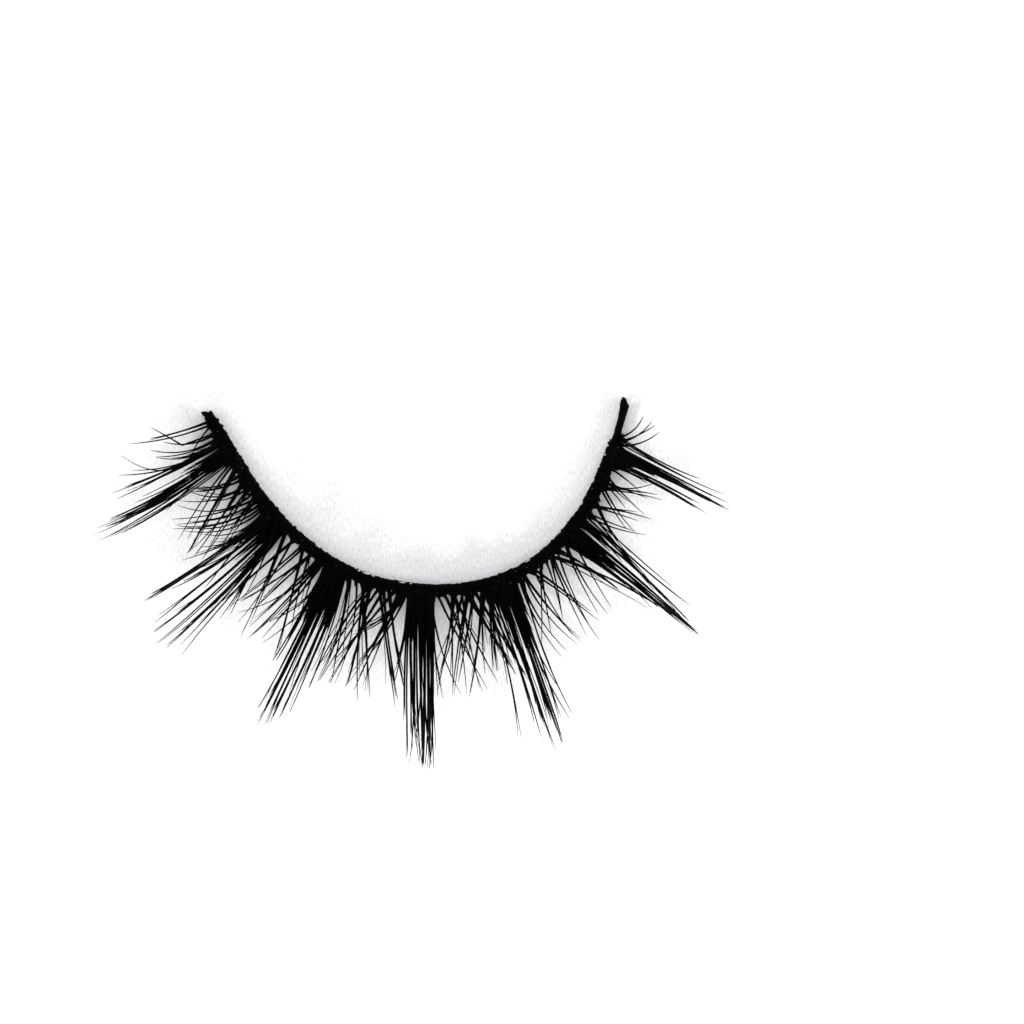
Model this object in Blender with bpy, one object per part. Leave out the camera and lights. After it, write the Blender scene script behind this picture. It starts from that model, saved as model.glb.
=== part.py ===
"""A false eyelash strip, lying on the flat underside of its band.

The band is a curved line of glued thread. Fibres leave its outer edge in seven long pointed
spikes, with shorter criss-cross fills between them and a few loose hairs at both corners. Each
cluster is a row of knots, its head, with tapered locks fused to it. All fibres curl upwards.

X runs from the outer corner to the inner corner, Y towards the curve's two ends, and Z up. The
origin is on the band's underside, halfway along it.
"""

import math
from collections import namedtuple

import bpy

# Driving dimensions, in metres unless another unit is named

# Band
BAND_SPAN = 0.02335
BAND_RISE = 0.01027
BAND_WIDTH = 0.00062
BAND_HEIGHT = 0.00055
TAIL_LENGTH = 0.0018
TAIL_WIDTH = 0.00048
TAIL_CUT = 0.00022
BAND_STATIONS = 46

# Rows of knots that carry the fibres
HEAD_GAP = 0.0001
HEAD_WIDTH = 0.00032
HEAD_HEIGHT = 0.0002
HEAD_STATION_PITCH = 0.00045
SPIKE_HEAD_Z = 0.00024
FILL_HEAD_Z = 0.0005

# Locks of fibre; a reach runs flat from the band's centre line to the tip
SPIKE_REACH = 0.0096
FILL_REACH = 0.006
CORNER_REACH = 0.0044
SPIKE_LOCK_WIDTH = 0.00048
SPIKE_LOCK_THICKNESS = 0.00025
FILL_LOCK_WIDTH = 0.0003
FILL_LOCK_THICKNESS = 0.00017
CORNER_LOCK_WIDTH = 0.00022
CORNER_LOCK_THICKNESS = 0.00015
TIP_WIDTH = 0.00005

# Upward curl, in degrees above the floor at the knot and at the tip
SPIKE_ROOT_ANGLE = 4.0
FILL_ROOT_ANGLE = 12.0
TIP_ANGLE = 74.0
CURL_POWER = 1.35

# The band's centre line: x as a share of the span, y as a share of the rise
CurvePoint = namedtuple("CurvePoint", "x y")
BAND_CURVE = (
    CurvePoint(-0.519, 0.952),
    CurvePoint(-0.447, 0.686),
    CurvePoint(-0.366, 0.426),
    CurvePoint(-0.263, 0.205),
    CurvePoint(-0.139, 0.055),
    CurvePoint(0.000, 0.000),
    CurvePoint(0.140, 0.031),
    CurvePoint(0.268, 0.169),
    CurvePoint(0.364, 0.406),
    CurvePoint(0.427, 0.692),
    CurvePoint(0.473, 1.000),
)

# The band's round-topped section: across as a share of half its width, up as a share of its height
BandCorner = namedtuple("BandCorner", "across up")
BAND_SECTION = (
    BandCorner(-1.00, 0.00),
    BandCorner(-1.00, 0.52),
    BandCorner(-0.66, 0.88),
    BandCorner(0.00, 1.00),
    BandCorner(0.66, 0.88),
    BandCorner(1.00, 0.52),
    BandCorner(1.00, 0.00),
)

# Clusters: the shares of the band's length between which the row of knots lies. Each lock leaves
# at a share of the length, leans in degrees towards the inner corner, reaches a share of its named
# reach, and bows sideways by a share of its own reach
Lock = namedtuple("Lock", "share lean reach bow")
Cluster = namedtuple("Cluster", "name start end locks")

SPIKES = (
    Cluster("spike_1", 0.044, 0.112, (
        Lock(0.051, -9, 0.61, 0.05),
        Lock(0.061, -5, 0.70, 0.04),
        Lock(0.074, -2, 0.76, 0.02),
        Lock(0.088, -2, 0.87, 0.00),
        Lock(0.101, -4, 0.86, -0.01),
    )),
    Cluster("spike_2", 0.178, 0.241, (
        Lock(0.186, -3, 0.84, 0.05),
        Lock(0.197, 1, 0.89, 0.03),
        Lock(0.208, 4, 0.92, 0.01),
        Lock(0.219, 5, 0.96, -0.01),
        Lock(0.230, 7, 0.89, -0.03),
    )),
    Cluster("spike_3", 0.322, 0.370, (
        Lock(0.330, 7, 0.89, 0.03),
        Lock(0.341, 6, 0.99, 0.01),
        Lock(0.352, 4, 0.94, -0.01),
        Lock(0.361, 5, 0.85, -0.02),
    )),
    Cluster("spike_4", 0.466, 0.514, (
        Lock(0.474, 6, 0.94, -0.01),
        Lock(0.484, 5, 0.97, -0.01),
        Lock(0.495, 4, 1.00, 0.00),
        Lock(0.505, 2, 1.00, 0.01),
    )),
    Cluster("spike_5", 0.613, 0.662, (
        Lock(0.621, -4, 0.93, 0.01),
        Lock(0.632, -5, 1.00, 0.00),
        Lock(0.643, -7, 0.98, -0.01),
        Lock(0.654, -7, 0.88, -0.02),
    )),
    Cluster("spike_6", 0.744, 0.804, (
        Lock(0.753, 4, 0.68, -0.02),
        Lock(0.768, -1, 0.90, -0.01),
        Lock(0.781, -4, 0.91, -0.03),
        Lock(0.795, -5, 0.66, -0.02),
    )),
    Cluster("spike_7", 0.883, 0.931, (
        Lock(0.891, -4, 0.62, 0.03),
        Lock(0.902, -2, 0.74, 0.01),
        Lock(0.913, -2, 0.68, -0.01),
        Lock(0.923, -3, 0.54, -0.03),
    )),
)

FILLS = (
    Cluster("fill_1", 0.116, 0.174, (
        Lock(0.122, -14, 0.62, 0.00),
        Lock(0.128, 17, 0.80, 0.02),
        Lock(0.140, -11, 0.76, 0.00),
        Lock(0.146, 18, 0.85, 0.02),
        Lock(0.157, -12, 0.73, 0.00),
        Lock(0.162, 3, 0.89, 0.02),
        Lock(0.169, -2, 0.66, -0.02),
    )),
    Cluster("fill_2", 0.245, 0.318, (
        Lock(0.252, 2, 0.81, 0.00),
        Lock(0.258, 15, 1.00, 0.02),
        Lock(0.269, 2, 0.86, 0.00),
        Lock(0.275, 22, 0.97, 0.02),
        Lock(0.287, 6, 1.00, -0.02),
        Lock(0.293, 23, 1.02, 0.02),
        Lock(0.303, 2, 0.78, 0.00),
        Lock(0.310, 25, 0.65, 0.02),
    )),
    Cluster("fill_3", 0.374, 0.462, (
        Lock(0.381, -1, 1.09, 0.00),
        Lock(0.388, 26, 1.11, 0.02),
        Lock(0.398, -5, 1.00, -0.02),
        Lock(0.411, -7, 1.02, -0.02),
        Lock(0.420, 24, 1.12, 0.01),
        Lock(0.430, -4, 1.00, 0.00),
        Lock(0.441, 20, 0.86, 0.02),
        Lock(0.451, -9, 1.14, 0.00),
        Lock(0.456, 4, 0.75, -0.03),
    )),
    Cluster("fill_4", 0.518, 0.609, (
        Lock(0.525, 26, 1.01, 0.00),
        Lock(0.532, 18, 0.96, 0.03),
        Lock(0.543, -16, 0.93, 0.00),
        Lock(0.555, -18, 0.95, -0.02),
        Lock(0.564, 22, 0.82, 0.02),
        Lock(0.574, -20, 1.01, 0.00),
        Lock(0.583, 18, 0.89, 0.02),
        Lock(0.594, -21, 1.00, 0.00),
        Lock(0.602, 8, 0.70, 0.02),
    )),
    Cluster("fill_5", 0.666, 0.740, (
        Lock(0.673, -19, 0.73, 0.00),
        Lock(0.680, 4, 0.85, 0.02),
        Lock(0.690, -14, 0.86, -0.02),
        Lock(0.698, 8, 0.78, 0.02),
        Lock(0.708, -33, 0.70, 0.00),
        Lock(0.714, -14, 0.86, 0.00),
        Lock(0.722, -34, 0.67, -0.02),
        Lock(0.728, 14, 0.72, 0.02),
        Lock(0.734, -21, 0.95, 0.02),
    )),
    Cluster("fill_6", 0.808, 0.879, (
        Lock(0.814, 8, 0.61, 0.00),
        Lock(0.820, 19, 0.60, 0.02),
        Lock(0.834, -30, 0.65, 0.00),
        Lock(0.840, -2, 0.51, 0.00),
        Lock(0.851, -32, 0.49, -0.02),
        Lock(0.857, 12, 0.60, 0.02),
        Lock(0.866, -35, 0.58, 0.00),
        Lock(0.873, 13, 0.46, 0.00),
    )),
)

CORNERS = (
    Cluster("outer_corner_hairs", 0.010, 0.040, (
        Lock(0.015, -12, 0.73, -0.03),
        Lock(0.022, -21, 1.00, 0.05),
        Lock(0.029, -31, 0.79, 0.09),
        Lock(0.036, -14, 0.83, 0.03),
    )),
    Cluster("inner_corner_hairs", 0.934, 0.950, (
        Lock(0.937, 27, 0.54, 0.03),
        Lock(0.942, 42, 0.50, 0.04),
        Lock(0.946, 60, 0.43, 0.04),
    )),
)

# Fineness of the curves and the sections' sides
CURVE_STEPS = 24
LOCK_STATIONS = 8
SPIKE_LOCK_SIDES = 6
FILL_LOCK_SIDES = 4
LOCK_WIDTH_POWER = 1.5
MIDDLE_STATION_SHIFT = 0.35

COTTON_BLACK = (0.012, 0.011, 0.011, 1.0)
FIBRE_BLACK = (0.016, 0.015, 0.016, 1.0)


def clear_scene():
    for thing in list(bpy.data.objects):
        bpy.data.objects.remove(thing, do_unlink=True)


def make_material(name, colour, roughness):
    material = bpy.data.materials.new(name)
    material.use_nodes = True
    shader = material.node_tree.nodes["Principled BSDF"]
    shader.inputs["Base Color"].default_value = colour
    shader.inputs["Roughness"].default_value = roughness
    shader.inputs["Metallic"].default_value = 0.0
    return material


def blend_points(before, start, end, after, t):
    """One coordinate of the smooth curve through start and end, at share t between them."""
    slope_start = (end - before) / 2.0
    slope_end = (after - start) / 2.0
    fall = 2.0 * start - 2.0 * end + slope_start + slope_end
    rise = 3.0 * end - 3.0 * start - 2.0 * slope_start - slope_end
    return ((fall * t + rise) * t + slope_start) * t + start


def trace_band():
    """The centre line as a dense list of points, each with its distance along the line."""
    rows = [(row.x * BAND_SPAN, row.y * BAND_RISE) for row in BAND_CURVE]
    before = (2.0 * rows[0][0] - rows[1][0], 2.0 * rows[0][1] - rows[1][1])
    after = (2.0 * rows[-1][0] - rows[-2][0], 2.0 * rows[-1][1] - rows[-2][1])
    rows = [before] + rows + [after]
    points = []
    for index in range(1, len(rows) - 2):
        for step in range(CURVE_STEPS):
            t = step / CURVE_STEPS
            near = rows[index - 1:index + 3]
            x = blend_points(near[0][0], near[1][0], near[2][0], near[3][0], t)
            y = blend_points(near[0][1], near[1][1], near[2][1], near[3][1], t)
            points.append((x, y))
    points.append(rows[-2])
    distances = [0.0]
    for first, second in zip(points, points[1:]):
        distances.append(distances[-1] + math.dist(first, second))
    return points, distances


BAND_POINTS, BAND_DISTANCES = trace_band()
BAND_LENGTH = BAND_DISTANCES[-1]


def band_frame(share):
    """The centre line's point, direction and outward side at a share of the band's length."""
    target = min(max(share, 0.0), 1.0) * BAND_LENGTH
    index = 1
    while index < len(BAND_DISTANCES) - 1 and BAND_DISTANCES[index] < target:
        index += 1
    first, second = BAND_POINTS[index - 1], BAND_POINTS[index]
    step = BAND_DISTANCES[index] - BAND_DISTANCES[index - 1]
    t = (target - BAND_DISTANCES[index - 1]) / step
    point = (first[0] + (second[0] - first[0]) * t, first[1] + (second[1] - first[1]) * t)
    along = ((second[0] - first[0]) / step, (second[1] - first[1]) / step)
    outward = (along[1], -along[0])
    return point, along, outward


def loft(name, rings):
    """A closed mesh through rings of equally many points, capped at both ends."""
    vertices = [corner for ring in rings for corner in ring]
    size = len(rings[0])
    faces = []
    for ring in range(len(rings) - 1):
        for corner in range(size):
            following = (corner + 1) % size
            low = ring * size
            high = low + size
            faces.append((low + corner, low + following, high + following, high + corner))
    faces.append(tuple(reversed(range(size))))
    faces.append(tuple(range(len(vertices) - size, len(vertices))))
    mesh = bpy.data.meshes.new(name)
    mesh.from_pydata(vertices, [], faces)
    mesh.update()
    piece = bpy.data.objects.new(name, mesh)
    bpy.context.collection.objects.link(piece)
    return piece


def fuse(piece, others):
    """Join the others to the piece as one body, and remove them."""
    for other in others:
        join = piece.modifiers.new("join", "BOOLEAN")
        join.operation = "UNION"
        join.solver = "EXACT"
        join.object = other
        depsgraph = bpy.context.evaluated_depsgraph_get()
        joined = bpy.data.meshes.new_from_object(piece.evaluated_get(depsgraph))
        piece.modifiers.remove(join)
        piece.data = joined
        bpy.data.objects.remove(other, do_unlink=True)


def finish(piece, material):
    piece.data.materials.clear()
    piece.data.materials.append(material)
    piece.data.shade_smooth()
    piece.data.set_sharp_from_angle(angle=math.radians(50.0))


def band_width_at(share):
    """Full width over the fibres' stretch, narrowing to the bare tail at the inner end."""
    tail_start = 1.0 - TAIL_LENGTH / BAND_LENGTH
    narrowing = BAND_WIDTH / BAND_LENGTH
    t = min(max((share - tail_start) / narrowing, 0.0), 1.0)
    return BAND_WIDTH + (TAIL_WIDTH - BAND_WIDTH) * t


def make_band(material):
    rings = []
    for station in range(BAND_STATIONS + 1):
        even_share = station / BAND_STATIONS
        shift = MIDDLE_STATION_SHIFT * math.sin(math.pi * even_share) / BAND_STATIONS
        share = even_share + shift
        point, along, outward = band_frame(share)
        width = band_width_at(share)
        ring = []
        for corner in BAND_SECTION:
            across = corner.across * width / 2.0
            slant = TAIL_CUT * (corner.across + 1.0) / 2.0 if station == BAND_STATIONS else 0.0
            x = point[0] + outward[0] * across - along[0] * slant
            y = point[1] + outward[1] * across - along[1] * slant
            ring.append((x, y, corner.up * BAND_HEIGHT))
        rings.append(ring)
    piece = loft("band", rings)
    finish(piece, material)


def head_offset():
    """Distance from the band's centre line to the middle of a row of knots."""
    return BAND_WIDTH / 2.0 + HEAD_GAP + HEAD_WIDTH / 2.0


def make_head(name, start, end, height):
    """A row of knots: a slim bar of six-sided section that follows the band's outer edge."""
    count = max(3, round((end - start) * BAND_LENGTH / HEAD_STATION_PITCH))
    corners = (
        (-1.0, 0.0),
        (-0.6, 1.0),
        (0.6, 1.0),
        (1.0, 0.0),
        (0.6, -1.0),
        (-0.6, -1.0),
    )
    rings = []
    for station in range(count + 1):
        share = start + (end - start) * station / count
        point, _, outward = band_frame(share)
        ring = []
        for across, up in corners:
            distance = head_offset() + across * HEAD_WIDTH / 2.0
            x = point[0] + outward[0] * distance
            y = point[1] + outward[1] * distance
            ring.append((x, y, height + up * HEAD_HEIGHT / 2.0))
        rings.append(ring)
    return loft(name, rings)


def curl_path(root_angle):
    """Flat distance, height and slope along a curling fibre, for a flat reach of 1."""
    rows = [(0.0, 0.0, math.radians(root_angle))]
    fine = CURVE_STEPS * LOCK_STATIONS
    flat = 0.0
    height = 0.0
    for step in range(1, fine + 1):
        t = (step - 0.5) / fine
        slope = math.radians(root_angle + (TIP_ANGLE - root_angle) * t ** CURL_POWER)
        flat += math.cos(slope) / fine
        height += math.sin(slope) / fine
        if step % CURVE_STEPS == 0:
            rows.append((flat, height, slope))
    return [(row[0] / flat, row[1] / flat, row[2]) for row in rows]


def make_lock(name, lock, full_reach, root_angle, height, width, thickness, sides):
    """A tapered, curling lock, rooted in the middle of its row of knots."""
    point, along, outward = band_frame(lock.share)
    lean = math.radians(lock.lean)
    flat_way = [math.cos(lean) * outward[k] + math.sin(lean) * along[k] for k in (0, 1)]
    side_way = [math.cos(lean) * along[k] - math.sin(lean) * outward[k] for k in (0, 1)]
    root = [point[k] + outward[k] * head_offset() for k in (0, 1)]
    reach = lock.reach * full_reach - head_offset()
    rings = []
    path = curl_path(root_angle)
    for station, (flat, up, slope) in enumerate(path):
        t = station / (len(path) - 1)
        bow = 4.0 * flat * (1.0 - flat) * lock.bow * reach
        turn = 4.0 * (1.0 - 2.0 * flat) * lock.bow
        fullness = 1.0 - t ** LOCK_WIDTH_POWER
        half_width = (TIP_WIDTH + (width - TIP_WIDTH) * fullness) / 2.0
        half_thickness = (TIP_WIDTH + (thickness - TIP_WIDTH) * fullness) / 2.0
        centre = [root[k] + flat_way[k] * flat * reach + side_way[k] * bow for k in (0, 1)]
        heading = [flat_way[k] + side_way[k] * turn for k in (0, 1)]
        scale = math.hypot(heading[0], heading[1])
        heading = [value / scale for value in heading]
        across = (-heading[1], heading[0])
        ring = []
        for side in range(sides):
            angle = 2.0 * math.pi * side / sides
            sideways = math.cos(angle) * half_width
            lifted = math.sin(angle) * half_thickness
            back = -math.sin(slope) * lifted
            x = centre[0] + across[0] * sideways + heading[0] * back
            y = centre[1] + across[1] * sideways + heading[1] * back
            ring.append((x, y, height + up * reach + math.cos(slope) * lifted))
        rings.append(ring)
    return loft(name, rings)


def make_cluster(cluster, full_reach, root_angle, height, width, thickness, sides, material):
    piece = make_head(cluster.name, cluster.start, cluster.end, height)
    locks = []
    for number, lock in enumerate(cluster.locks):
        name = f"{cluster.name}_lock_{number}"
        locks.append(make_lock(name, lock, full_reach, root_angle, height, width, thickness, sides))
    fuse(piece, locks)
    finish(piece, material)


def main():
    clear_scene()
    make_band(make_material("cotton_thread", COTTON_BLACK, 0.6))
    for cluster in SPIKES:
        material = make_material(cluster.name + "_fibre", FIBRE_BLACK, 0.35)
        make_cluster(cluster, SPIKE_REACH, SPIKE_ROOT_ANGLE, SPIKE_HEAD_Z, SPIKE_LOCK_WIDTH,
                     SPIKE_LOCK_THICKNESS, SPIKE_LOCK_SIDES, material)
    for cluster in FILLS:
        material = make_material(cluster.name + "_fibre", FIBRE_BLACK, 0.35)
        make_cluster(cluster, FILL_REACH, FILL_ROOT_ANGLE, FILL_HEAD_Z, FILL_LOCK_WIDTH,
                     FILL_LOCK_THICKNESS, FILL_LOCK_SIDES, material)
    for cluster in CORNERS:
        material = make_material(cluster.name + "_fibre", FIBRE_BLACK, 0.35)
        make_cluster(cluster, CORNER_REACH, FILL_ROOT_ANGLE, FILL_HEAD_Z, CORNER_LOCK_WIDTH,
                     CORNER_LOCK_THICKNESS, FILL_LOCK_SIDES, material)


main()
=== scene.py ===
import math
from collections import namedtuple

import bpy
import numpy as np
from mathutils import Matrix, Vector


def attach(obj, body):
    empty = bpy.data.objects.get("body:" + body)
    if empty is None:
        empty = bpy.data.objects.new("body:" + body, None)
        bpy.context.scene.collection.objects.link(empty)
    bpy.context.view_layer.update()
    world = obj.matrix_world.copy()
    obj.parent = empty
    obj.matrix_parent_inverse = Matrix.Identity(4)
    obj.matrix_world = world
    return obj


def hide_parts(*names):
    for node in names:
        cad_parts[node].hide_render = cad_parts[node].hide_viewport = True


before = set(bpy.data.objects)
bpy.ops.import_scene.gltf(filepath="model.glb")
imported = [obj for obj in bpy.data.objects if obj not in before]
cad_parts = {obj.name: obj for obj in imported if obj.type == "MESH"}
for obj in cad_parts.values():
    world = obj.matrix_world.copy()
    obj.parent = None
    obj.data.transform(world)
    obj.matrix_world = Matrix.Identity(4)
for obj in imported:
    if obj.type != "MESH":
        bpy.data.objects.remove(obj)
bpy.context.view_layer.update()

MM = 0.001
RNG = np.random.default_rng(7)

# The photograph: the width of floor that it shows, and the place that its middle looks at
PHOTO_WIDTH = 56.35 * MM
PHOTO_MIDDLE = (4.69 * MM, 4.25 * MM)
LENS = 200.0
SENSOR = 36.0

# Band
BAND_SPAN = 23.35 * MM
BAND_RISE = 10.27 * MM
BAND_WIDTH = 0.62 * MM
BAND_HEIGHT = 0.55 * MM
# The centre line: x as a share of the span, y as a share of the rise. The points follow the band's
# edge in the photograph, as two other scripts found and spaced it
BAND_CURVE = (
    (-0.519, 0.952),
    (-0.447, 0.686),
    (-0.366, 0.426),
    (-0.263, 0.205),
    (-0.139, 0.055),
    (0.000, 0.000),
    (0.140, 0.031),
    (0.268, 0.169),
    (0.364, 0.406),
    (0.427, 0.692),
    (0.473, 1.000),
)
# The band's full width along it, in band widths: thick over the fibres, slim where the tail
# begins, and flared at its cut end
BAND_FULLNESS = (
    (0.000, 0.78),
    (0.012, 0.98),
    (0.030, 1.22),
    (0.060, 1.16),
    (0.120, 1.04),
    (0.500, 1.00),
    (0.925, 1.04),
    (0.950, 0.66),
    (0.975, 0.76),
    (0.992, 0.98),
    (1.000, 0.90),
)
TAIL_CUT = 0.34 * MM
TAIL_CUT_START = 0.985
TAIL_SLANT_START = -0.1
TAIL_SLANT_WIDTH = 0.7
TAIL_STUB = 0.2 * MM
TAIL_BEND = 0.13 * MM
TAIL_BEND_START = 0.94
OUTER_CUT = 0.2 * MM
OUTER_CUT_END = 0.014
OUTER_SLANT_START = 0.6
OUTER_SLANT_WIDTH = 1.5
CURVE_STEPS = 60
CORE_STATIONS = 640
CORE_SIDES = 24
CORE_FULLNESS = 0.93
CORE_TWIST_PITCH = 1.3 * MM
CORE_LOBE_DEPTH = 0.035
CORE_LOWEST_SKIN = 0.05 * MM
WRAP_PITCH = 0.5 * MM
WRAP_RADIUS = 0.055 * MM
WRAP_STEPS = 22
WRAP_PLIES = 2
WRAP_PLY_GAP = 0.31
WRAP_START = 0.006
WRAPPED_SHARE = 0.93
WRAP_SQUARENESS = 0.75
WRAP_SIDES = 6
GLUE_LUMP_COUNT = 170
GLUE_FLECK_COUNT = 40
FRAYED_THREADS = 9
FRAYED_LAP = 0.12 * MM

# Lumps of the band's skin, coarse and fine: their pitch, and their height as a share of the skin's
OUTER_LUMPS = ((0.45 * MM, 0.09), (0.17 * MM, 0.04))
INNER_LUMPS = ((0.5 * MM, 0.11), (0.15 * MM, 0.045))
TOP_LUMPS = ((0.3 * MM, 0.07),)

# How the wound thread varies: least and most pitch as shares, then the pitch and amount of a waver
WRAP_PITCHES = (0.55, 1.45)
WRAP_SWELL = (0.6 * MM, 0.035 * MM)
WRAP_THICKENING = (0.8 * MM, 0.25)
WRAP_SINK = 0.045 * MM

# Black glue lumps: shares of the band's length, places across it in half widths, sizes in mm
GLUE_LUMP_SHARES = (0.012, 0.945)
GLUE_LUMP_PLACES = (-0.74, 0.95, 1.1, 0.3)
GLUE_LUMP_SIZES = (0.05, 0.11)

# Pale glue flecks in the same units
GLUE_FLECK_SHARES = (0.03, 0.94)
GLUE_FLECK_PLACES = (-0.75, 1.5)
GLUE_FLECK_SIZES = (0.01, 0.019)

# Hair: full flat reaches, root heights and curls
SPIKE_REACH = 9.6 * MM
FILL_REACH = 6.0 * MM
CORNER_REACH = 4.4 * MM
SPIKE_ROOT_Z = 0.24 * MM
FILL_ROOT_Z = 0.42 * MM
SPIKE_ROOT_ANGLE = 4.0
FILL_ROOT_ANGLE = 11.0
TIP_ANGLE = 74.0
CURL_POWER = 1.35
ROOT_INSET = 0.3
HAIR_RADIUS = 0.055 * MM
HAIR_TIP_RADIUS = 0.01 * MM
SPIKE_TAPER = 3.0
FILL_TAPER = 1.9
HAIR_STATIONS = 26
HAIR_SIDES = 7
CURL_STEPS = 200

# How hairs part sideways at the root and the tip, and lie higher or lower than one another
SPIKE_PARTING = 0.028 * MM
SPIKE_TIP_PARTING = 0.35
SPIKE_LAYER_SPREAD = 0.08 * MM
SPIKE_HAIR_SPREAD = 0.05 * MM
FILL_LAYER_GAP = 0.05 * MM
FILL_HAIR_SPREAD = 0.03 * MM
FILL_PARTING = 0.02 * MM
FILL_TIP_PARTING = 0.13 * MM
BODY_PARTING = 0.06 * MM
BODY_LAYER_SPREAD = 0.12 * MM
STRAY_PARTING = 0.1 * MM
STRAY_LAYER_SPREAD = 0.08 * MM

# How far angles, in degrees, and hooks differ from hair to hair
ROOT_ANGLE_SPREAD = 2.5
TIP_ANGLE_SPREAD = 5.0
HOOK_SPREAD = 0.01
FIRM_TIP_ANGLE_SPREAD = 4.0
BODY_LEAN_SPREAD = 1.5
BODY_ROOT_ANGLE_SPREAD = 2.0
STRAY_ROOT_ANGLE_SPREAD = 3.0
STRAY_TIP_ANGLE_SPREAD = 6.0
STRAY_HOOK_SPREAD = 0.03

# Least and most of a body hair's tip angle, as shares of the full one
BODY_TIP_ANGLES = (0.3, 0.6)

# Least and most of each kind of hair: widths as shares of a hair's, lengths as shares of its strand's
SPIKE_WIDTHS = (0.74, 1.02)
FINE_WIDTHS = (0.58, 0.72)
BODY_WIDTHS = (0.9, 1.2)
STRAY_WIDTHS = (0.52, 0.7)
SPIKE_UNEVENNESS = 0.24
FINE_LENGTHS = (0.76, 1.0)
STRAY_LENGTHS = (0.62, 0.97)
SHEATH_LENGTHS = (0.32, 0.56)

# Loose hairs: the chance beside each full strand, and how far they lean away from it in degrees
SPIKE_STRAY_CHANCE = 0.5
SPIKE_STRAY_LEAN = 2.2
FILL_STRAY_CHANCE = 0.75
FILL_STRAY_LEAN = 5.0
STRAY_BOW_PER_DEGREE = 0.008

# Knots: their fillets, least and most of a fillet, and the stations along a knot in fillets
SPIKE_FILLET = 0.26 * MM
FILL_FILLET = 0.19 * MM
CORNER_FILLET = 0.12 * MM
FILLET_SHARES = (0.75, 1.2)
KNOT_STATIONS = (-0.3, 0.0, 0.06, 0.16, 0.3, 0.5, 0.75, 1.0, 1.6)
KNOT_SIDES = 12
SHEATH_SIDES = 10

# Materials: the two colours that each blends, its roughness, and the scale of its noise
HAIR_COLOURS = ((0.0003, 0.0003, 0.0004, 1), (0.0012, 0.001, 0.001, 1))
HAIR_ROUGHNESS = (0.34, 0.5)
HAIR_NOISE = 9000.0
THREAD_COLOURS = ((0.0003, 0.0003, 0.0004, 1), (0.001, 0.001, 0.0012, 1))
THREAD_ROUGHNESS = 0.5
THREAD_NOISE = 14000.0
GLUE_COLOURS = ((0.04, 0.04, 0.04, 1), (0.62, 0.62, 0.6, 1))
GLUE_ROUGHNESS = 0.45
GLUE_NOISE = 20000.0
PAPER_COLOURS = ((0.74, 0.74, 0.75, 1), (0.90, 0.90, 0.90, 1))
PAPER_ROUGHNESS = 0.9
PAPER_NOISE = 11000.0
BLACK_SHINE = 0.02
PAPER_SHINE = 0.1

# Studio: lamps rise over the floor by some degrees, more at the back and at the left
FLOOR_HALF_WIDTH = 3.0
SKY_COLOUR = (0.95, 0.97, 1.0, 1)
SKY_STRENGTH = 0.46
LAMP_COUNT = 12
LAMP_DISTANCE = 0.65
LAMP_SIZE = 0.1
LAMP_RISE = 25.0
LAMP_RISE_AT_BACK = 10.0
LAMP_RISE_AT_LEFT = 5.5
LAMP_POWER = 0.17
LAMP_POWER_IN_FRONT = 0.53

# A strand is one to eleven hairs that leave one knot together. It leaves at a share of the band's
# length, leans in degrees towards the inner corner, reaches a share of its named reach, and bows
# sideways by a share of its own reach. Most places were written down as pixels from enlarged crops
# of the photograph, and another script turned them into these units. The rest, and the counts of
# hairs, were set one by one
Strand = namedtuple("Strand", "share lean reach bow hairs")
Cluster = namedtuple("Cluster", "name strands")

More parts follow.
